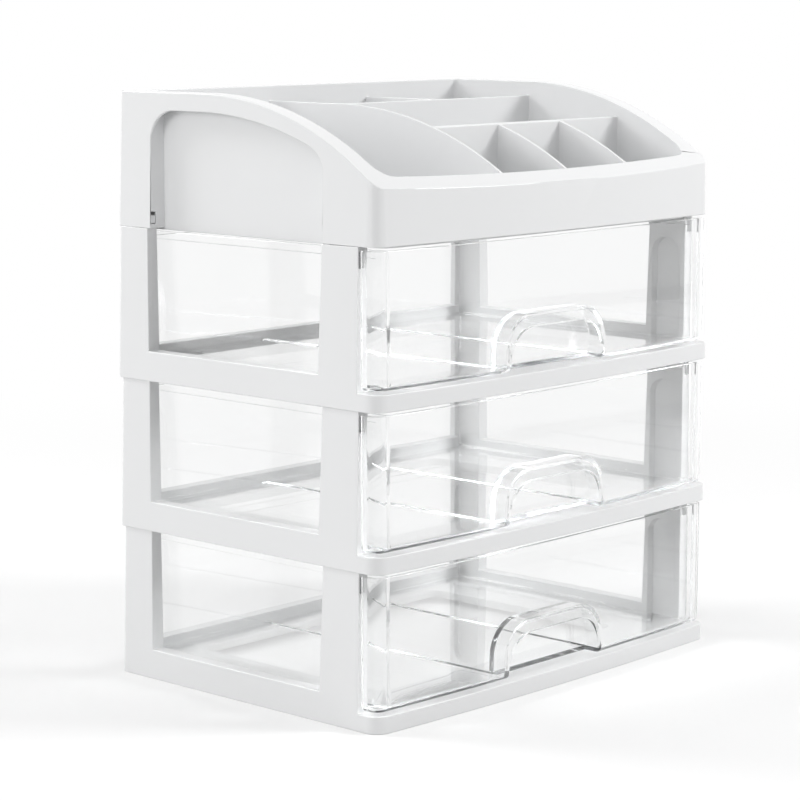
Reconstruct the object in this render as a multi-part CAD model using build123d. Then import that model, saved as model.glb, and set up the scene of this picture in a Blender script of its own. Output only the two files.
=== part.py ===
from build123d import *
import os
from math import atan, degrees, sqrt

# Whole organizer, in millimetres, standing on z = 0 with its front towards -Y
width = 300.0
depth = 211.0
layers = 3
frame_height = 88.0
tray_height = 77.5

# Plan outline shared by the frames, the tray and the drawer fronts
front_bow = 4.5
front_corner_radius = 9.5
rear_corner_radius = 3.5
least_radius = 1.0
frame_draft = 1.5
tray_draft = 1.75

# Frame walls; a setback is measured from the middle of the front or from the rear
frame_wall = 2.0
floor_thickness = 2.0
floor_top = 8.0
lip_height = 9.8
beam_depth = 22.3
rail_height = 17.4
rail_depth = 9.0
post_depth = 9.0
post_front_setback = 19.3

# Side windows, whose upright edges lean a little
window_front_setback_low = 48.4
window_front_setback_high = 46.2
window_rear_setback_low = 27.1

# Hollow of each post, open to the drawer
post_flange = 2.2
post_skin = 2.2
post_front_flange = 4.0
post_hollow_drop = 15.5
post_hollow_radius = 9.0

# Blind notch in the front face of each front post
notch_width = 4.0
notch_outer_margin = 1.0
notch_height = 8.8
notch_below_top = 2.8
notch_depth = 5.0

# Floor opening with its turned-down edge, and the ribs that stiffen it
opening_side_margin = 45.0
opening_front_setback = 42.9
opening_rear_setback = 20.1
opening_radius = 8.0
opening_edge_drop = 3.0
stiffener_width = 1.6
stiffener_count = 4

# Runner ribs that carry the drawer
runner_side_margin = 26.0
runner_width = 3.0
runner_end_gap = 4.0

# Snap tongue on each post, and the rib with a window that it clicks into
snap_rib = 2.0
snap_clearance = 0.4
tongue_width = 3.6
tongue_thickness = 1.8
tongue_height = 7.7
tongue_outer_margin = 0.9
nib_bottom = 2.8
nib_height = 4.6
snap_window_top = 9.4

# Drawer tub, whose walls lean out upwards, with a band round its rim
drawer_floor_gap = 0.3
drawer_lip_gap = 0.9
drawer_wall = 2.0
drawer_side_gap = 1.8
drawer_draft = 1.0
drawer_rear_gap = 0.3
drawer_rim_band = 4.5
drawer_rim_flange = 0.8
drawer_corner_radius = 6.0
drawer_foot_radius = 4.0

# Drawer front panel, with an ear round each front corner
panel_top_gap = 2.0
panel_setback = 2.1
panel_ear_gap = 1.2
panel_band_overlap = 2.8

# Finger pull: an arched pocket behind a smaller arched hole in the panel
pocket_half_width = 42.0
pocket_height = 30.3
pocket_radius = 19.0
pocket_depth = 12.4
pull_height = 24.6
pull_radius = 20.5

# Two raised lines on the drawer floor, in line with the sides of the pocket
floor_line_height = 0.8

# Tray, whose foot is flush with the top of the frame below and whose bin hangs a little into that frame
tray_front_height = 25.9
tray_flat_depth = 70.1
tray_skirt = 2.2
tray_rim = 2.5
bin_front_margin = 10.4
bin_rear_margin = 10.8
bin_side_margin = 15.0
bin_wall = 2.0
bin_sink = 1.5
bin_floor = 2.0
bin_front_radius = 10.0
bin_rear_radius = 3.0

# Dividers of the tray: one long, two across, then evenly spaced ones between the long one and the right wall
divider_wall = 2.0
divider_drop = 9.0
inner_front_height = 31.2
long_divider_x = -34.0
cross_divider_rear_setback = 71.6
cross_divider_front_setback = 68.6
rear_divider_count = 1
front_divider_count = 2

# Recess in each side of the tray
recess_rear_setback = 28.6
recess_front_setback = 46.0
recess_drop = 10.3
recess_rear_radius = 18.0
recess_front_radius = 16.0

# Places that follow from the sizes above
front = -depth / 2
rear = depth / 2
half_width = width / 2
bow_radius = (half_width**2 + front_bow**2) / (2 * front_bow)
bow_centre = front + bow_radius
bay_half_width = half_width - post_depth
post_front = front + post_front_setback
rail_inner = rear - rail_depth
recess_rear = rear - recess_rear_setback
recess_front = front + recess_front_setback
window_front_low = front + window_front_setback_low
window_front_high = front + window_front_setback_high
window_rear_low = rear - window_rear_setback_low
window_rear_high = recess_rear + snap_rib + snap_clearance
opening_half_width = half_width - opening_side_margin
opening_front = front + opening_front_setback
opening_rear = rear - opening_rear_setback
panel_top = frame_height - panel_top_gap
drawer_bottom = lip_height + drawer_lip_gap
drawer_floor = drawer_bottom + drawer_wall
tub_rear = rail_inner - drawer_rear_gap
ear_rear = post_front - panel_ear_gap
pocket_rear = front + panel_setback + pocket_depth
pocket_top = drawer_bottom + pocket_height
pull_top = drawer_bottom + pull_height
tray_base = layers * frame_height
tray_top = tray_base + tray_height
rim_run = depth - tray_flat_depth
rim_arc_start = rear - tray_flat_depth
bin_base = tray_base - bin_sink
bin_half_width = half_width - bin_side_margin
cross_divider_rear_y = rear - cross_divider_rear_setback
cross_divider_front_y = front + cross_divider_front_setback


def block(x_low, x_high, y_low, y_high, z_low, z_high):
    """A box between two corners."""
    centre = Pos((x_low + x_high) / 2, (y_low + y_high) / 2, (z_low + z_high) / 2)
    return centre * Box(x_high - x_low, y_high - y_low, z_high - z_low)


def bowed_plan(side, front_y, rear_y, front_radius):
    """A plan face with straight sides, square rear corners and a bowed front with two round corners."""
    bow = bow_centre - front_y
    corner_x = side - front_radius
    corner_y = bow_centre - sqrt((bow - front_radius) ** 2 - corner_x**2)
    reach = bow / (bow - front_radius)
    tangent_x = corner_x * reach
    tangent_y = bow_centre + (corner_y - bow_centre) * reach
    middle = Vector(1, 0) + Vector(tangent_x - corner_x, tangent_y - corner_y).normalized()
    middle = Vector(corner_x, corner_y) + middle.normalized() * front_radius
    edges = [
        Line((side, corner_y), (side, rear_y)),
        Line((side, rear_y), (-side, rear_y)),
        Line((-side, rear_y), (-side, corner_y)),
        ThreePointArc((-side, corner_y), (-middle.X, middle.Y), (-tangent_x, tangent_y)),
        ThreePointArc((-tangent_x, tangent_y), (0, front_y), (tangent_x, tangent_y)),
        ThreePointArc((tangent_x, tangent_y), (middle.X, middle.Y), (side, corner_y)),
    ]
    return Face(Wire(edges))


def outline(inset):
    """The outside of the organizer in plan, moved in by inset."""
    front_radius = max(front_corner_radius - inset, least_radius)
    return bowed_plan(half_width - inset, front + inset, rear - inset, front_radius)


def prism(plan, z_low, z_high):
    """A plan face drawn straight up."""
    return Pos(0, 0, z_low) * extrude(plan, z_high - z_low, dir=(0, 0, 1))


def leaning(plan, z_low, z_high, lean):
    """A plan face drawn up with its walls leaning in by lean, or out where lean is negative."""
    height = z_high - z_low
    return Pos(0, 0, z_low) * extrude(plan, height, dir=(0, 0, 1), taper=degrees(atan(lean / height)))


def rounded_rear(solid, radius):
    """A solid with its two upright rear edges rounded."""
    uprights = solid.edges().filter_by(lambda edge: abs(edge.tangent_at(0.5).Z) > 0.9)
    return fillet(uprights.sort_by(Axis.Y)[-2:], radius)


def rounded_foot(solid, radius):
    """A solid with the edges of its bottom face rounded."""
    return fillet(solid.faces().sort_by(Axis.Z)[0].edges(), radius)


def shell(inset, z_low, z_high, lean):
    """The outside of the organizer as a solid, moved in by inset, with walls that lean in."""
    return rounded_rear(leaning(outline(inset), z_low, z_high, lean), max(rear_corner_radius - inset, least_radius))


def both_sides(piece):
    """A piece and its mirror image across the middle."""
    return piece + mirror(piece, about=Plane.YZ)


def snap_tongue(rib_face, towards, base_z):
    """A tongue on a post with a nib that reaches into the window of the rib above it."""
    outer_x = half_width - frame_draft - tongue_outer_margin
    inner_x = outer_x - tongue_width
    plate_near = rib_face + towards * (snap_rib + snap_clearance)
    plate_far = plate_near + towards * tongue_thickness
    nib_tip = rib_face + towards * snap_clearance
    plate = block(inner_x, outer_x, min(plate_near, plate_far), max(plate_near, plate_far), base_z, base_z + tongue_height)
    nib_low = base_z + nib_bottom
    nib = block(inner_x, outer_x, min(nib_tip, plate_near), max(nib_tip, plate_near), nib_low, nib_low + nib_height)
    return both_sides(plate + nib)


def snap_socket(rib_face, towards, base_z):
    """The space a tongue needs in the piece above: its slot and the window for its nib."""
    outer_x = half_width - frame_draft - tongue_outer_margin + snap_clearance
    inner_x = outer_x - tongue_width - 2 * snap_clearance
    rib_far = rib_face + towards * snap_rib
    slot_far = rib_far + towards * (tongue_thickness + 2 * snap_clearance)
    slot = block(inner_x, outer_x, min(rib_far, slot_far), max(rib_far, slot_far), base_z, base_z + snap_window_top)
    window_low = base_z + nib_bottom - snap_clearance
    window = block(inner_x, outer_x, min(rib_face, rib_far), max(rib_face, rib_far), window_low, base_z + snap_window_top)
    return both_sides(slot + window)


def post_hollow(y_low, y_high):
    """The channel in a post, open to the drawer, with its two top corners rounded."""
    floor_x = half_width - frame_draft - post_skin
    channel = block(bay_half_width, floor_x, y_low, y_high, floor_top, frame_height - post_hollow_drop)
    top_edges = channel.edges().filter_by(Axis.X).group_by(Axis.Z)[-1]
    radius = min(post_hollow_radius, (y_high - y_low) / 2 - least_radius)
    return both_sides(fillet(top_edges, radius))


def frame_bay():
    """The drawer's space inside a frame, open at the front, the top and above the rear rail."""
    floor_plan = bowed_plan(bay_half_width, front + beam_depth, rail_inner, least_radius)
    above_floor = prism(floor_plan, floor_top, frame_height)
    above_lip = block(-bay_half_width, bay_half_width, front, rail_inner, lip_height, frame_height)
    above_rail = block(-bay_half_width, bay_half_width, 0, rear, rail_height, frame_height)
    before_posts = block(-half_width, half_width, front, post_front, lip_height, frame_height)
    return above_floor + above_lip + above_rail + before_posts


def frame_windows():
    """The two side windows, closed at the top by the piece above."""
    points = [
        (window_front_low, rail_height),
        (window_rear_low, rail_height),
        (window_rear_high, frame_height),
        (window_front_high, frame_height),
    ]
    profile = Plane.YZ * make_face(Polyline(points, close=True))
    return Pos(-half_width, 0, 0) * extrude(profile, width, dir=(1, 0, 0))


def rail_hollows():
    """The hollow under each rail, stopped by the posts' feet and by the ribs that the tongues click into."""
    floor_under = floor_top - floor_thickness
    inner = bay_half_width
    hollows = prism(outline(frame_wall), 0, rail_height - frame_wall)
    hollows -= block(-inner - frame_wall, inner + frame_wall, front, rail_inner + frame_wall, 0, rail_height)
    hollows -= block(-half_width, half_width, front, post_front + frame_wall, 0, rail_height)
    hollows -= both_sides(block(inner, half_width, window_rear_low, rear, floor_under, rail_height))
    hollows -= both_sides(block(inner, half_width, post_front, window_front_low, floor_under, rail_height))
    hollows -= both_sides(block(inner, half_width, recess_rear, recess_rear + snap_rib, 0, rail_height))
    hollows -= both_sides(block(inner, half_width, recess_front - snap_rib, recess_front, 0, rail_height))
    return hollows


def frame_underside():
    """The hollows under a frame: below its floor, in its rails and posts, and in its front beam."""
    floor_plan = bowed_plan(bay_half_width, front + beam_depth + frame_wall, rail_inner, least_radius)
    below_floor = prism(floor_plan, 0, floor_top - floor_thickness)
    beam = prism(outline(frame_wall), 0, lip_height - frame_wall)
    beam -= block(-half_width, half_width, post_front, rear, 0, lip_height)
    return below_floor + rail_hollows() + beam


def opening_block(grow, z_low, z_high):
    """The floor opening as a solid with round corners, moved out by grow."""
    side = opening_half_width + grow
    solid = block(-side, side, opening_front - grow, opening_rear + grow, z_low, z_high)
    return fillet(solid.edges().filter_by(Axis.Z), opening_radius + grow)


def floor_stiffeners():
    """Ribs under the side parts of a frame's floor, evenly spaced along the opening."""
    inner = opening_half_width + frame_wall / 2
    pitch = (opening_rear - opening_front) / stiffener_count
    floor_under = floor_top - floor_thickness
    ribs = []
    for index in range(stiffener_count):
        low = opening_front + (index + 0.5) * pitch - stiffener_width / 2
        ribs.append(block(inner, bay_half_width, low, low + stiffener_width, opening_edge_drop, floor_under))
    return both_sides(Part() + ribs)


def runners():
    """Two ribs on a frame's floor that carry the drawer."""
    inner = half_width - runner_side_margin
    low = front + beam_depth + front_bow + runner_end_gap
    high = rail_inner - runner_end_gap
    return both_sides(block(inner, inner + runner_width, low, high, floor_top, drawer_bottom - drawer_floor_gap))


def post_notches():
    """The blind notch in the front face of each front post."""
    outer = half_width - frame_draft - notch_outer_margin
    top = frame_height - notch_below_top
    return both_sides(block(outer - notch_width, outer, post_front, post_front + notch_depth, top - notch_height, top))


def frame():
    """One frame, with its base on z = 0."""
    body = shell(0, 0, frame_height, frame_draft)
    body -= frame_bay()
    body -= frame_windows()
    body -= frame_underside()
    body -= post_hollow(window_rear_high + post_flange, rear - post_front_flange)
    body -= post_hollow(post_front + post_front_flange, window_front_high - post_flange)
    body -= post_notches()
    body -= snap_socket(recess_rear, 1, 0)
    body -= snap_socket(recess_front, -1, 0)
    body += opening_block(frame_wall, opening_edge_drop, floor_top - floor_thickness)
    body += floor_stiffeners()
    body -= opening_block(0, 0, floor_top)
    body += runners()
    body += snap_tongue(recess_rear, 1, frame_height)
    body += snap_tongue(recess_front, -1, frame_height)
    return body


def tub_plan(inset):
    """The tub in plan, moved in by inset from its widest and run on past the front panel."""
    side = bay_half_width - drawer_side_gap - inset
    return Pos(0, (front + tub_rear - inset) / 2) * Rectangle(2 * side, tub_rear - inset - front)


def behind_bow(setback):
    """Everything behind a bowed face that lies back from the front by setback."""
    return prism(bowed_plan(width, front + setback, depth, least_radius), 0, frame_height)


def arch(half, top, radius, y_low, y_high):
    """A solid arch with upright sides, drawn along Y from below the drawer."""
    solid = block(-half, half, y_low, y_high, 0, top)
    top_edges = solid.edges().filter_by(Axis.Y).group_by(Axis.Z)[-1]
    return fillet(top_edges, radius)


def drawer_tub():
    """The outside of the tub with the band round its rim, stopped behind the face of the front panel."""
    tub = leaning(tub_plan(drawer_draft), drawer_bottom, panel_top, -drawer_draft)
    tub = rounded_foot(rounded_rear(tub, drawer_corner_radius - drawer_draft), drawer_foot_radius)
    band = prism(tub_plan(-drawer_rim_flange), panel_top - drawer_rim_band, panel_top)
    band = rounded_rear(band, drawer_corner_radius)
    band -= block(-half_width, half_width, front, ear_rear - panel_band_overlap, 0, frame_height)
    return tub + band


def drawer_envelope():
    """The outside of the front panel run back over the whole drawer, with its foot rounded."""
    return rounded_foot(prism(outline(panel_setback), drawer_bottom, panel_top), drawer_foot_radius)


def drawer_panel():
    """The bowed front panel, wrapped round both corners as ears, closed below between ear and tub."""
    panel = drawer_envelope() - prism(outline(panel_setback + drawer_wall), drawer_floor, panel_top)
    return panel - block(-half_width, half_width, ear_rear, rear, 0, panel_top)


def drawer_space():
    """The inside of a drawer, less its finger pocket and its floor lines."""
    inset = drawer_draft + drawer_wall
    space = leaning(tub_plan(inset), drawer_floor, panel_top, -drawer_draft)
    space = rounded_rear(space, drawer_corner_radius - inset)
    space &= behind_bow(panel_setback + drawer_wall)
    floor_front = space.faces().sort_by(Axis.Z)[0].edges().sort_by(Axis.Y)[0]
    space = fillet(floor_front, drawer_foot_radius - drawer_wall)
    shell_half = pocket_half_width + drawer_wall
    shell_top = pocket_top + drawer_wall
    space -= arch(shell_half, shell_top, pocket_radius + drawer_wall, front, pocket_rear + drawer_wall)
    line_top = drawer_floor + floor_line_height
    space -= both_sides(block(pocket_half_width, shell_half, pocket_rear, rear, 0, line_top))
    return space


def drawer():
    """One clear drawer with its panel, rim, finger pull and floor lines, placed for a frame on z = 0."""
    tub = drawer_tub() & behind_bow(panel_setback + drawer_wall / 2) & drawer_envelope()
    body = tub + drawer_panel() - drawer_space()
    pocket_front = front + panel_setback + drawer_wall + front_bow / 4
    body -= arch(pocket_half_width, pocket_top, pocket_radius, pocket_front, pocket_rear)
    body -= arch(pocket_half_width, pull_top, pull_radius, front, pocket_rear)
    return body


def rim_z(y, front_height):
    """The height of a surface that is flat at the rear and falls in one arc to its height at the front."""
    fall = tray_height - front_height
    radius = (rim_run**2 + fall**2) / (2 * fall)
    return tray_top - radius + sqrt(radius**2 - (rim_arc_start - y) ** 2)


def under_rim(drop, front_height):
    """Everything under the tray's rim surface, or under a flatter one inside it, lower down by drop."""
    low = bin_base - drop
    far_rear = rear + tray_rim
    far_front = front - tray_rim
    arc_middle = (rim_arc_start + far_front) / 2
    middle_z = rim_z(arc_middle, front_height)
    front_z = rim_z(far_front, front_height)
    edges = [
        Line((far_front, low), (far_rear, low)),
        Line((far_rear, low), (far_rear, tray_top)),
        Line((far_rear, tray_top), (rim_arc_start, tray_top)),
        ThreePointArc((rim_arc_start, tray_top), (arc_middle, middle_z), (far_front, front_z)),
        Line((far_front, front_z), (far_front, low)),
    ]
    profile = Plane.YZ * Face(Wire(edges))
    return Pos(-half_width, 0, -drop) * extrude(profile, width, dir=(1, 0, 0))


def tray_bin(grow, z_low):
    """The inside of the tray's bin as a solid up to the rim, moved out by grow."""
    front_y = front + bin_front_margin - grow
    plan = bowed_plan(bin_half_width + grow, front_y, rear - bin_rear_margin + grow, bin_front_radius + grow)
    return rounded_rear(prism(plan, z_low, tray_top), bin_rear_radius + grow)


def even_places(low, high, count):
    """The centres of dividers that part a clear length into equal widths."""
    clear = (high - low - count * divider_wall) / (count + 1)
    return [low + (index + 1) * (clear + divider_wall) - divider_wall / 2 for index in range(count)]


def tray_dividers():
    """The dividers that make seven compartments, with tops that follow a flatter arc below the rim."""
    low = bin_base
    half = divider_wall / 2
    bin_front = front + bin_front_margin - bin_wall / 2
    bin_rear = rear - bin_rear_margin + bin_wall / 2
    bin_side = bin_half_width + bin_wall / 2
    walls = [block(long_divider_x - half, long_divider_x + half, bin_front, bin_rear, low, tray_top)]
    for y in (cross_divider_rear_y, cross_divider_front_y):
        walls.append(block(long_divider_x, bin_side, y - half, y + half, low, tray_top))
    for x in even_places(long_divider_x + half, bin_half_width, rear_divider_count):
        walls.append(block(x - half, x + half, cross_divider_rear_y, bin_rear, low, tray_top))
    for x in even_places(long_divider_x + half, bin_half_width, front_divider_count):
        walls.append(block(x - half, x + half, bin_front, cross_divider_front_y, low, tray_top))
    walls = (Part() + walls) & under_rim(divider_drop, inner_front_height)
    return walls & tray_bin(bin_wall / 2, bin_base)


def tray_recess():
    """The cut-out in each side of the skirt, with two rounded upper corners."""
    outer = half_width + tray_rim
    cut = block(bin_half_width + bin_wall, outer, recess_front, recess_rear, tray_base, tray_top)
    cut &= Pos(tray_rim, 0, 0) * under_rim(recess_drop, inner_front_height)
    for index, radius in ((-1, recess_rear_radius), (0, recess_front_radius)):
        across = cut.edges().filter_by(Axis.X).filter_by(lambda edge: edge.center().Z > tray_base + recess_drop)
        cut = fillet(across.sort_by(Axis.Y)[index], radius)
    return both_sides(cut)


def top_tray():
    """The tray, standing on the upper frame."""
    body = shell(frame_draft, tray_base, tray_top, tray_draft) & under_rim(0, tray_front_height)
    skirt_space = shell(frame_draft + tray_skirt, tray_base, tray_top, tray_draft)
    skirt_space &= under_rim(tray_rim, tray_front_height)
    skirt_space -= tray_bin(bin_wall, bin_base)
    for rib_low in (recess_rear, recess_front - snap_rib):
        skirt_space -= both_sides(block(bin_half_width, half_width, rib_low, rib_low + snap_rib, tray_base, tray_top))
    body -= skirt_space
    body += tray_bin(bin_wall, bin_base) & under_rim(0, tray_front_height)
    body -= tray_bin(0, bin_base + bin_floor)
    body += tray_dividers()
    body -= tray_recess()
    body -= snap_socket(recess_rear, 1, tray_base)
    body -= snap_socket(recess_front, -1, tray_base)
    return body


def build():
    """Every piece of the organizer, by name."""
    frame_solid = frame()
    drawer_solid = drawer()
    pieces = {"top_tray": top_tray()}
    for layer, level in enumerate(("lower", "middle", "upper")):
        lift = Pos(0, 0, layer * frame_height)
        pieces[f"{level}_frame"] = lift * frame_solid
        pieces[f"{level}_drawer"] = lift * drawer_solid
    return pieces


os.makedirs("parts", exist_ok=True)
for name, solid in build().items():
    export_step(solid, f"parts/{name}.step")
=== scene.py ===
import math

import bmesh
import bpy
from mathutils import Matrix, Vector


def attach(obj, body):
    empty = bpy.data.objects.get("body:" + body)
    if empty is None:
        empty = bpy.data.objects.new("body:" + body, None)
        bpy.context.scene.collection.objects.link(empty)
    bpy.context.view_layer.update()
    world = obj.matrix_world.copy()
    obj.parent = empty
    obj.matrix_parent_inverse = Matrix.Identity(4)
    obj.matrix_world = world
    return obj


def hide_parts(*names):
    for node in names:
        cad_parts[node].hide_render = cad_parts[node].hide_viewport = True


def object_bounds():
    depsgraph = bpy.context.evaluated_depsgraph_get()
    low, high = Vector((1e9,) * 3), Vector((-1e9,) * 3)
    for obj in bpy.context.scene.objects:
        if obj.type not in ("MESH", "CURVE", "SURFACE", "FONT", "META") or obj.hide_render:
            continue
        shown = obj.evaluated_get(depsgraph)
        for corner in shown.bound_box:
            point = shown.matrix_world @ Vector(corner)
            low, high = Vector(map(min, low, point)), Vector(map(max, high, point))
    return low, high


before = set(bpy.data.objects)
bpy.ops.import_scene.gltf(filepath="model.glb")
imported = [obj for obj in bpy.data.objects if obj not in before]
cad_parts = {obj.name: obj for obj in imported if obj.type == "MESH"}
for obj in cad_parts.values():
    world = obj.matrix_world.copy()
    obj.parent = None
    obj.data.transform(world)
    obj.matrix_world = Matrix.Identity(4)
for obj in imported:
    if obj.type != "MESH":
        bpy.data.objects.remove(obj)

bl_info = {
    "name": "Desk Drawer Organizer",
    "version": (1, 0, 0),
    "blender": (4, 5, 0),
    "location": "3D View > Sidebar > Organizer",
    "description": "Dresses a stacked drawer organizer in satin white and clear moulded plastic",
    "category": "Object",
}

CAD_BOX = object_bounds()

LAYERS = ("lower", "middle", "upper")
STACK_BODY = "stack"

# Corners of the CAD triangles nearer than this are one point, in metres
MERGE_DISTANCE = 0.000002

# Faces that turn less than this against each other become one flat face
FLAT_ANGLE = math.radians(0.05)

# The least turn between two faces that makes their edge a sharp one
SHARP_ANGLE = math.radians(32)

# An edge stays sharp where a face beside it is narrower than this many edge radii
ROOM_FOR_ROUNDING = 1.5

# Flat faces with more corners than this are split into triangles, so that the rounding stays even
MOST_CORNERS = 4

# Steps across each rounded edge
EDGE_SEGMENTS = 2

# How much the large faces lead the shading, where 50 is neutral and 100 the most
LARGE_FACE_WEIGHT = 100

# Cycles per metre and detail of the noises in the plastics
CLOUD_NOISE = (14.0, 2.0)
GRAIN_NOISE = (420.0, 3.0)
FLOW_NOISE = (9.0, 1.0)

# White plastic: its refractive index, the polish of its skin, how far its roughness varies
# to each side, and how dark its cloudy patches are
WHITE_BEND = 1.49
WHITE_SKIN_ROUGHNESS = 0.15
WHITE_ROUGHNESS_SPREAD = 0.05
CLOUD_SHADE = 0.975

# Strength of the tool texture on the white plastic, and its depth in metres
GRAIN_STRENGTH = 0.06
GRAIN_DEPTH = 0.0001

# How far the roughness of the clear plastic varies to each side, as a share of it
CLEAR_ROUGHNESS_SPREAD = 0.5

# Each lamp's turn from the front, positive to the right, and its height above the horizon,
# in degrees
LAMPS = {
    "rear_lamp": (-155, 33),
    "left_lamp": (-90, 15),
    "top_lamp": (0, 85),
    "right_lamp": (40, 32),
}

WHITE = (1.0, 1.0, 1.0, 1.0)

# The camera's sensor width in millimetres, and the distances it sees between, in metres
SENSOR_WIDTH = 36.0
NEAREST_SEEN = 0.05
FARTHEST_SEEN = 50.0


class OrganizerSettings(bpy.types.PropertyGroup):
    """Finishes of the tray, the frames and the drawers."""

    white_colour: bpy.props.FloatVectorProperty(
        name="White Colour",
        description="Colour of the white tray and frames",
        subtype="COLOR",
        size=3,
        min=0.0,
        max=1.0,
        default=(0.83, 0.835, 0.84),
    )
    white_roughness: bpy.props.FloatProperty(
        name="White Roughness",
        description="How satin the white mouldings are",
        subtype="FACTOR",
        min=0.0,
        max=1.0,
        default=0.34,
    )
    white_gloss: bpy.props.FloatProperty(
        name="White Gloss",
        description="How strongly the skin of the white mouldings shines",
        subtype="FACTOR",
        min=0.0,
        max=1.0,
        default=0.5,
    )
    white_edge: bpy.props.FloatProperty(
        name="White Edge Radius",
        description="Rounding of the edges of the white mouldings",
        subtype="DISTANCE",
        unit="LENGTH",
        min=0.0,
        default=0.0005,
    )
    clear_colour: bpy.props.FloatVectorProperty(
        name="Clear Colour",
        description="Tint of the clear drawers",
        subtype="COLOR",
        size=3,
        min=0.0,
        max=1.0,
        default=(0.985, 0.987, 0.987),
    )
    clear_depth_colour: bpy.props.FloatVectorProperty(
        name="Clear Depth Colour",
        description="Colour that the clear plastic takes on where light runs far in it",
        subtype="COLOR",
        size=3,
        min=0.0,
        max=1.0,
        default=(0.25, 0.26, 0.27),
    )
    clear_depth: bpy.props.FloatProperty(
        name="Clear Depth",
        description="How fast clear plastic takes on its depth colour, for each metre in it",
        min=0.0,
        default=9.0,
    )
    clear_roughness: bpy.props.FloatProperty(
        name="Clear Roughness",
        description="Polish of the clear drawers, 0 for a perfect one",
        subtype="FACTOR",
        min=0.0,
        max=1.0,
        default=0.01,
    )
    clear_bend: bpy.props.FloatProperty(
        name="Clear Bend",
        description="Refractive index that bends the light in the thin walls of the drawers",
        min=1.0,
        max=2.0,
        default=1.2,
    )
    clear_edge: bpy.props.FloatProperty(
        name="Clear Edge Radius",
        description="Rounding of the edges of the clear drawers",
        subtype="DISTANCE",
        unit="LENGTH",
        min=0.0,
        default=0.0004,
    )


class StageSettings(bpy.types.PropertyGroup):
    """The studio round the organizer."""

    camera_place: bpy.props.FloatVectorProperty(
        name="Camera Place",
        description="Where the camera stands",
        subtype="TRANSLATION",
        unit="LENGTH",
        size=3,
        default=(-1.1503, -1.0351, 0.3973),
    )
    camera_azimuth: bpy.props.FloatProperty(
        name="Camera Azimuth",
        description="Turn of the view about the upright, 0 from the front",
        subtype="ANGLE",
        unit="ROTATION",
        default=math.radians(-47.477),
    )
    camera_elevation: bpy.props.FloatProperty(
        name="Camera Elevation",
        description="Height of the view above the horizon",
        subtype="ANGLE",
        unit="ROTATION",
        default=math.radians(8.858),
    )
    camera_lens: bpy.props.FloatProperty(
        name="Camera Lens",
        description="Focal length in millimetres",
        min=1.0,
        default=117.88,
    )
    rear_lamp: bpy.props.FloatProperty(
        name="Rear Lamp",
        description="Power of the lamp behind the organizer's left corner, in watts",
        min=0.0,
        default=18.4,
    )
    left_lamp: bpy.props.FloatProperty(
        name="Left Lamp",
        description="Power of the low lamp at the left, in watts",
        min=0.0,
        default=11.2,
    )
    top_lamp: bpy.props.FloatProperty(
        name="Top Lamp",
        description="Power of the lamp overhead, in watts",
        min=0.0,
        default=8.2,
    )
    right_lamp: bpy.props.FloatProperty(
        name="Right Lamp",
        description="Power of the lamp at the front right, in watts",
        min=0.0,
        default=24.2,
    )
    lamp_size: bpy.props.FloatProperty(
        name="Lamp Size",
        description="Side of each square lamp",
        subtype="DISTANCE",
        unit="LENGTH",
        min=0.01,
        default=0.7,
    )
    lamp_distance: bpy.props.FloatProperty(
        name="Lamp Distance",
        description="How far the lamps stand from the organizer's middle",
        subtype="DISTANCE",
        unit="LENGTH",
        min=0.5,
        default=2.2,
    )
    sky_strength: bpy.props.FloatProperty(
        name="Sky Strength",
        description="Strength of the even light from all round",
        min=0.0,
        default=0.45,
    )
    clear_bounces: bpy.props.IntProperty(
        name="Clear Bounces",
        description="How many clear surfaces a ray may meet, for drawers one behind another",
        min=4,
        default=96,
    )
    floor_shade: bpy.props.FloatProperty(
        name="Floor Shade",
        description="How pale the matt floor is",
        subtype="FACTOR",
        min=0.0,
        max=1.0,
        default=0.7,
    )
    floor_glow: bpy.props.FloatProperty(
        name="Floor Glow",
        description="White that the floor adds for the eye near the organizer",
        min=0.0,
        default=0.25,
    )
    floor_fade_start: bpy.props.FloatProperty(
        name="Floor Fade Start",
        description="Distance from the middle at which the floor starts to fade to white",
        subtype="DISTANCE",
        unit="LENGTH",
        min=0.0,
        default=0.45,
    )
    floor_fade_end: bpy.props.FloatProperty(
        name="Floor Fade End",
        description="Distance from the middle from which the floor shows as pure white",
        subtype="DISTANCE",
        unit="LENGTH",
        min=0.0,
        default=1.1,
    )
    floor_size: bpy.props.FloatProperty(
        name="Floor Size",
        description="Side of the square floor",
        subtype="DISTANCE",
        unit="LENGTH",
        min=1.0,
        default=12.0,
    )


def settings():
    return bpy.context.scene.organizer


def studio():
    return bpy.context.scene.organizer_stage


def new_material(name):
    """A material with an empty node tree and its output."""
    material = bpy.data.materials.new(name)
    material.use_nodes = True
    tree = material.node_tree
    tree.nodes.clear()
    output = tree.nodes.new("ShaderNodeOutputMaterial")
    return material, tree, output


def add_noise(tree, scale, detail):
    """The factor of a noise that lies still on the object."""
    place = tree.nodes.new("ShaderNodeTexCoord")
    noise = tree.nodes.new("ShaderNodeTexNoise")
    noise.inputs["Scale"].default_value = scale
    noise.inputs["Detail"].default_value = detail
    tree.links.new(place.outputs["Object"], noise.inputs["Vector"])
    return noise.outputs["Fac"]


def spread(tree, factor, low, high):
    """A factor from 0 to 1, taken to a range from low to high."""
    span = tree.nodes.new("ShaderNodeMapRange")
    span.inputs["To Min"].default_value = low
    span.inputs["To Max"].default_value = high
    tree.links.new(factor, span.inputs["Value"])
    return span.outputs["Result"]


def add_bump(tree, height, strength, depth):
    """The normal of a surface that a height makes bumpy."""
    bump = tree.nodes.new("ShaderNodeBump")
    bump.inputs["Strength"].default_value = strength
    bump.inputs["Distance"].default_value = depth
    tree.links.new(height, bump.inputs["Height"])
    return bump.outputs["Normal"]


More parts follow.
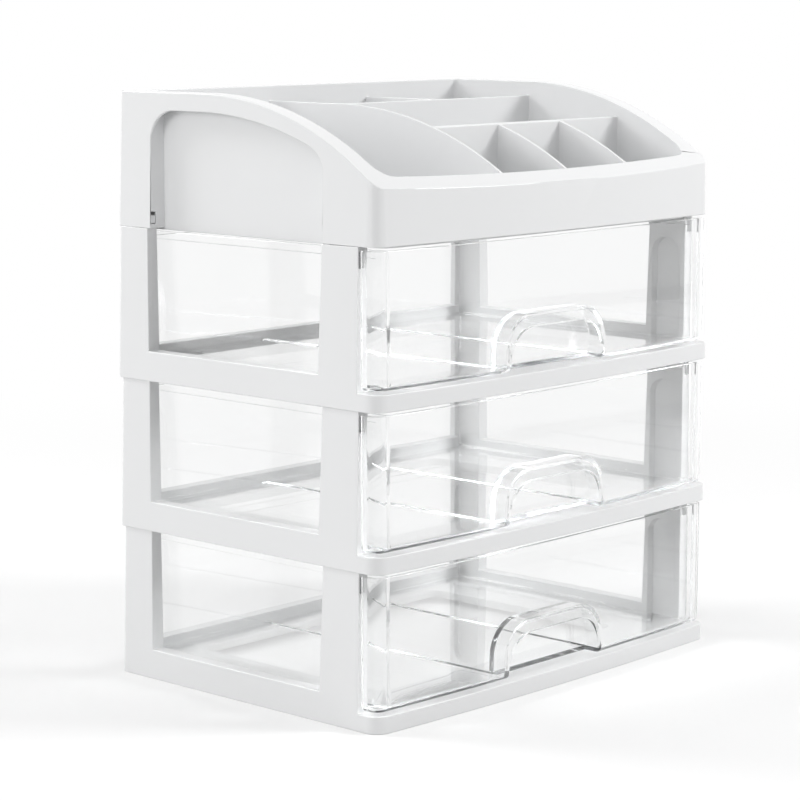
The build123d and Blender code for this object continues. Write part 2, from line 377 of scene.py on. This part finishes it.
def combined(tree, operation, first, second):
    """What a math operation makes of two values from the node tree."""
    node = tree.nodes.new("ShaderNodeMath")
    node.operation = operation
    tree.links.new(first, node.inputs[0])
    tree.links.new(second, node.inputs[1])
    return node.outputs["Value"]


def mixed(tree, factor, first, second):
    """The first shader where the factor is 0, and the second where it is 1."""
    mix = tree.nodes.new("ShaderNodeMixShader")
    tree.links.new(factor, mix.inputs["Fac"])
    tree.links.new(first, mix.inputs[1])
    tree.links.new(second, mix.inputs[2])
    return mix.outputs["Shader"]


def white_plastic():
    """Satin white moulded plastic, with a faint cloudiness and a fine tool texture."""
    values = settings()
    material, tree, output = new_material("white_moulded_plastic")
    shader = tree.nodes.new("ShaderNodeBsdfPrincipled")
    tint = tree.nodes.new("ShaderNodeMix")
    tint.data_type = "RGBA"
    cloudy = tuple(channel * CLOUD_SHADE for channel in values.white_colour)
    tint.inputs["A"].default_value = (*cloudy, 1.0)
    tint.inputs["B"].default_value = (*values.white_colour, 1.0)
    tree.links.new(add_noise(tree, *CLOUD_NOISE), tint.inputs["Factor"])
    tree.links.new(tint.outputs["Result"], shader.inputs["Base Color"])
    grain = add_noise(tree, *GRAIN_NOISE)
    low = values.white_roughness - WHITE_ROUGHNESS_SPREAD
    high = values.white_roughness + WHITE_ROUGHNESS_SPREAD
    tree.links.new(spread(tree, grain, low, high), shader.inputs["Roughness"])
    bump = add_bump(tree, grain, GRAIN_STRENGTH, GRAIN_DEPTH)
    tree.links.new(bump, shader.inputs["Normal"])
    shader.inputs["IOR"].default_value = WHITE_BEND
    shader.inputs["Coat Weight"].default_value = values.white_gloss
    shader.inputs["Coat Roughness"].default_value = WHITE_SKIN_ROUGHNESS
    tree.links.new(shader.outputs["BSDF"], output.inputs["Surface"])
    return material


def clear_plastic():
    """Clear polished plastic that bends light, greys with depth and lets the lamps through."""
    values = settings()
    material, tree, output = new_material("clear_moulded_plastic")
    shader = tree.nodes.new("ShaderNodeBsdfPrincipled")
    shader.inputs["Base Color"].default_value = (*values.clear_colour, 1.0)
    shader.inputs["Transmission Weight"].default_value = 1.0
    shader.inputs["IOR"].default_value = values.clear_bend
    shader.inputs["Coat Weight"].default_value = 1.0
    shader.inputs["Coat Roughness"].default_value = values.clear_roughness
    low = values.clear_roughness * (1.0 - CLEAR_ROUGHNESS_SPREAD)
    high = values.clear_roughness * (1.0 + CLEAR_ROUGHNESS_SPREAD)
    rough = spread(tree, add_noise(tree, *FLOW_NOISE), low, high)
    tree.links.new(rough, shader.inputs["Roughness"])
    through = tree.nodes.new("ShaderNodeBsdfTransparent")
    through.inputs["Color"].default_value = (*values.clear_colour, 1.0)
    path = tree.nodes.new("ShaderNodeLightPath")
    surface = mixed(
        tree,
        path.outputs["Is Shadow Ray"],
        shader.outputs["BSDF"],
        through.outputs["BSDF"],
    )
    tree.links.new(surface, output.inputs["Surface"])
    depth = tree.nodes.new("ShaderNodeVolumeAbsorption")
    depth.inputs["Color"].default_value = (*values.clear_depth_colour, 1.0)
    depth.inputs["Density"].default_value = values.clear_depth
    tree.links.new(depth.outputs["Volume"], output.inputs["Volume"])
    return material


def reach(face, edge):
    """How far a face spreads from one of its edges."""
    start, end = (vert.co for vert in edge.verts)
    along = (end - start).normalized()
    spans = [vert.co - start for vert in face.verts]
    return max((span - along * span.dot(along)).length for span in spans)


def mark_edges(work, radius):
    """Give the sharp edges a bevel weight, but not beside faces too narrow for the rounding."""
    weight = work.edges.layers.float.new("bevel_weight_edge")
    room = ROOM_FOR_ROUNDING * radius
    for edge in work.edges:
        sharp = edge.calc_face_angle(0.0) > SHARP_ANGLE
        if sharp and all(reach(face, edge) > room for face in edge.link_faces):
            edge[weight] = 1.0


def clean_mesh(node, name, radius):
    """A CAD node's mesh, merged into clean faces, with the edges marked that get rounded."""
    mesh = bpy.data.meshes.new(name)
    work = bmesh.new()
    work.from_mesh(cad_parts[node].data)
    bmesh.ops.remove_doubles(work, verts=work.verts, dist=MERGE_DISTANCE)
    bmesh.ops.dissolve_limit(
        work, angle_limit=FLAT_ANGLE, verts=work.verts, edges=work.edges
    )
    mark_edges(work, radius)
    many_sided = [face for face in work.faces if len(face.verts) > MOST_CORNERS]
    bmesh.ops.triangulate(
        work, faces=many_sided, quad_method="BEAUTY", ngon_method="BEAUTY"
    )
    work.to_mesh(mesh)
    work.free()
    return mesh


def dress(node, name, body, material, radius):
    """Put a moulding with rounded edges over its CAD node."""
    mesh = clean_mesh(node, name, radius)
    mesh.materials.append(material)
    mesh.shade_smooth()
    mesh.set_sharp_from_angle(angle=SHARP_ANGLE)
    piece = bpy.data.objects.new(name, mesh)
    bpy.context.scene.collection.objects.link(piece)
    bevel = piece.modifiers.new("edges", "BEVEL")
    bevel.width = radius
    bevel.segments = EDGE_SEGMENTS
    bevel.limit_method = "WEIGHT"
    bevel.use_clamp_overlap = False
    even = piece.modifiers.new("even_shading", "WEIGHTED_NORMAL")
    even.keep_sharp = True
    even.weight = LARGE_FACE_WEIGHT
    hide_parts(node)
    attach(piece, body)


class ORGANIZER_OT_tray(bpy.types.Operator):
    """Dress the divided tray on top"""

    bl_idname = "organizer.tray"
    bl_label = "Tray"

    def execute(self, context):
        material = white_plastic()
        edge = settings().white_edge
        dress("top_tray", "tray_moulding", STACK_BODY, material, edge)
        return {"FINISHED"}


class ORGANIZER_OT_frames(bpy.types.Operator):
    """Dress the three stacked frames"""

    bl_idname = "organizer.frames"
    bl_label = "Frames"

    def execute(self, context):
        material = white_plastic()
        edge = settings().white_edge
        for layer in LAYERS:
            node = f"{layer}_frame"
            dress(node, f"{node}_moulding", STACK_BODY, material, edge)
        return {"FINISHED"}


class ORGANIZER_OT_drawers(bpy.types.Operator):
    """Dress the three clear drawers"""

    bl_idname = "organizer.drawers"
    bl_label = "Drawers"

    def execute(self, context):
        material = clear_plastic()
        edge = settings().clear_edge
        for layer in LAYERS:
            node = f"{layer}_drawer"
            dress(node, f"{node}_moulding", f"{node}_body", material, edge)
        return {"FINISHED"}


def away(turn, rise):
    """The direction out from the organizer, by its turn from the front and its height."""
    level = math.cos(rise)
    return Vector((math.sin(turn) * level, -math.cos(turn) * level, math.sin(rise)))


def add_lamp(values, name, turn, rise):
    """A square lamp that faces the organizer's middle from a direction."""
    data = bpy.data.lights.new(name, "AREA")
    data.shape = "SQUARE"
    data.size = values.lamp_size
    data.energy = getattr(values, name)
    lamp = bpy.data.objects.new(name, data)
    out = away(math.radians(turn), math.radians(rise))
    low, high = CAD_BOX
    lamp.location = (low + high) / 2 + out * values.lamp_distance
    lamp.rotation_euler = (-out).to_track_quat("-Z", "Y").to_euler()
    bpy.context.scene.collection.objects.link(lamp)


def seen_rays(tree):
    """1 for rays that show a surface, straight, mirrored or through clear plastic, else 0."""
    path = tree.nodes.new("ShaderNodeLightPath")
    seen = path.outputs["Is Camera Ray"]
    for ray in ("Is Glossy Ray", "Is Transmission Ray"):
        seen = combined(tree, "MAXIMUM", seen, path.outputs[ray])
    return seen


def shown_light(tree, seen, strength):
    """White light that a surface gives only to the rays that show it."""
    level = tree.nodes.new("ShaderNodeMath")
    level.operation = "MULTIPLY"
    level.inputs[1].default_value = strength
    tree.links.new(seen, level.inputs[0])
    glow = tree.nodes.new("ShaderNodeEmission")
    tree.links.new(level.outputs["Value"], glow.inputs["Strength"])
    return glow.outputs["Emission"]


def white_sky(tree, strength):
    """Even white light from all round."""
    sky = tree.nodes.new("ShaderNodeBackground")
    sky.inputs["Color"].default_value = WHITE
    sky.inputs["Strength"].default_value = strength
    return sky.outputs["Background"]


def floor_material(values):
    """Pale and matt near the organizer, and as white as the backdrop far from it."""
    material, tree, output = new_material("pale_floor")
    shade = values.floor_shade
    matt = tree.nodes.new("ShaderNodeBsdfDiffuse")
    matt.inputs["Color"].default_value = (shade, shade, shade, 1.0)
    seen = seen_rays(tree)
    lit = tree.nodes.new("ShaderNodeAddShader")
    tree.links.new(matt.outputs["BSDF"], lit.inputs[0])
    tree.links.new(shown_light(tree, seen, values.floor_glow), lit.inputs[1])
    place = tree.nodes.new("ShaderNodeTexCoord")
    distance = tree.nodes.new("ShaderNodeVectorMath")
    distance.operation = "LENGTH"
    tree.links.new(place.outputs["Object"], distance.inputs[0])
    fade = tree.nodes.new("ShaderNodeMapRange")
    fade.interpolation_type = "SMOOTHSTEP"
    fade.inputs["From Min"].default_value = values.floor_fade_start
    fade.inputs["From Max"].default_value = values.floor_fade_end
    tree.links.new(distance.outputs["Value"], fade.inputs["Value"])
    share = combined(tree, "MULTIPLY", fade.outputs["Result"], seen)
    surface = mixed(tree, share, lit.outputs["Shader"], shown_light(tree, seen, 1.0))
    tree.links.new(surface, output.inputs["Surface"])
    return material


def make_floor(scene, values):
    mesh = bpy.data.meshes.new("floor")
    work = bmesh.new()
    half = values.floor_size / 2
    bmesh.ops.create_grid(work, x_segments=1, y_segments=1, size=half)
    work.to_mesh(mesh)
    work.free()
    mesh.materials.append(floor_material(values))
    floor = bpy.data.objects.new("floor", mesh)
    scene.collection.objects.link(floor)


def make_sky(scene, values):
    """Even light on the organizer, and a pure white backdrop for the rays that show it."""
    world = bpy.data.worlds.new("studio_sky")
    scene.world = world
    world.use_nodes = True
    tree = world.node_tree
    tree.nodes.clear()
    output = tree.nodes.new("ShaderNodeOutputWorld")
    light = white_sky(tree, values.sky_strength)
    surface = mixed(tree, seen_rays(tree), light, white_sky(tree, 1.0))
    tree.links.new(surface, output.inputs["Surface"])


def make_camera(scene, values):
    data = bpy.data.cameras.new("photo_camera")
    data.lens = values.camera_lens
    data.sensor_width = SENSOR_WIDTH
    data.clip_start = NEAREST_SEEN
    data.clip_end = FARTHEST_SEEN
    camera = bpy.data.objects.new("photo_camera", data)
    camera.location = values.camera_place
    camera.rotation_mode = "QUATERNION"
    out = away(values.camera_azimuth, values.camera_elevation)
    camera.rotation_quaternion = (-out).to_track_quat("-Z", "Y")
    scene.collection.objects.link(camera)
    scene.camera = camera


class ORGANIZER_OT_stage(bpy.types.Operator):
    """Set the floor, the lamps, the sky and the camera"""

    bl_idname = "organizer.stage"
    bl_label = "Stage"

    def execute(self, context):
        values = studio()
        scene = context.scene
        scene.view_settings.view_transform = "Standard"
        # The four limits are equal, because a lower one turns thick clear walls black
        scene.cycles.max_bounces = values.clear_bounces
        scene.cycles.glossy_bounces = values.clear_bounces
        scene.cycles.transmission_bounces = values.clear_bounces
        scene.cycles.transparent_max_bounces = values.clear_bounces
        make_floor(scene, values)
        make_sky(scene, values)
        for name, (turn, rise) in LAMPS.items():
            add_lamp(values, name, turn, rise)
        make_camera(scene, values)
        return {"FINISHED"}


class ORGANIZER_PT_panel(bpy.types.Panel):
    """The organizer's pieces and settings"""

    bl_idname = "ORGANIZER_PT_panel"
    bl_label = "Desk Drawer Organizer"
    bl_space_type = "VIEW_3D"
    bl_region_type = "UI"
    bl_category = "Organizer"

    def draw(self, context):
        layout = self.layout
        for operator in OPERATORS:
            layout.operator(operator.bl_idname)
        for group in (settings(), studio()):
            for name in group.__annotations__:
                layout.prop(group, name)


OPERATORS = (
    ORGANIZER_OT_stage,
    ORGANIZER_OT_frames,
    ORGANIZER_OT_drawers,
    ORGANIZER_OT_tray,
)
CLASSES = (OrganizerSettings, StageSettings, *OPERATORS, ORGANIZER_PT_panel)


def register():
    for item in CLASSES:
        bpy.utils.register_class(item)
    bpy.types.Scene.organizer = bpy.props.PointerProperty(type=OrganizerSettings)
    bpy.types.Scene.organizer_stage = bpy.props.PointerProperty(type=StageSettings)


def unregister():
    del bpy.types.Scene.organizer_stage
    del bpy.types.Scene.organizer
    for item in reversed(CLASSES):
        bpy.utils.unregister_class(item)


def main():
    register()
    bpy.ops.organizer.stage()
    bpy.ops.organizer.frames()
    bpy.ops.organizer.drawers()
    bpy.ops.organizer.tray()


if __name__ == "__main__":
    main()
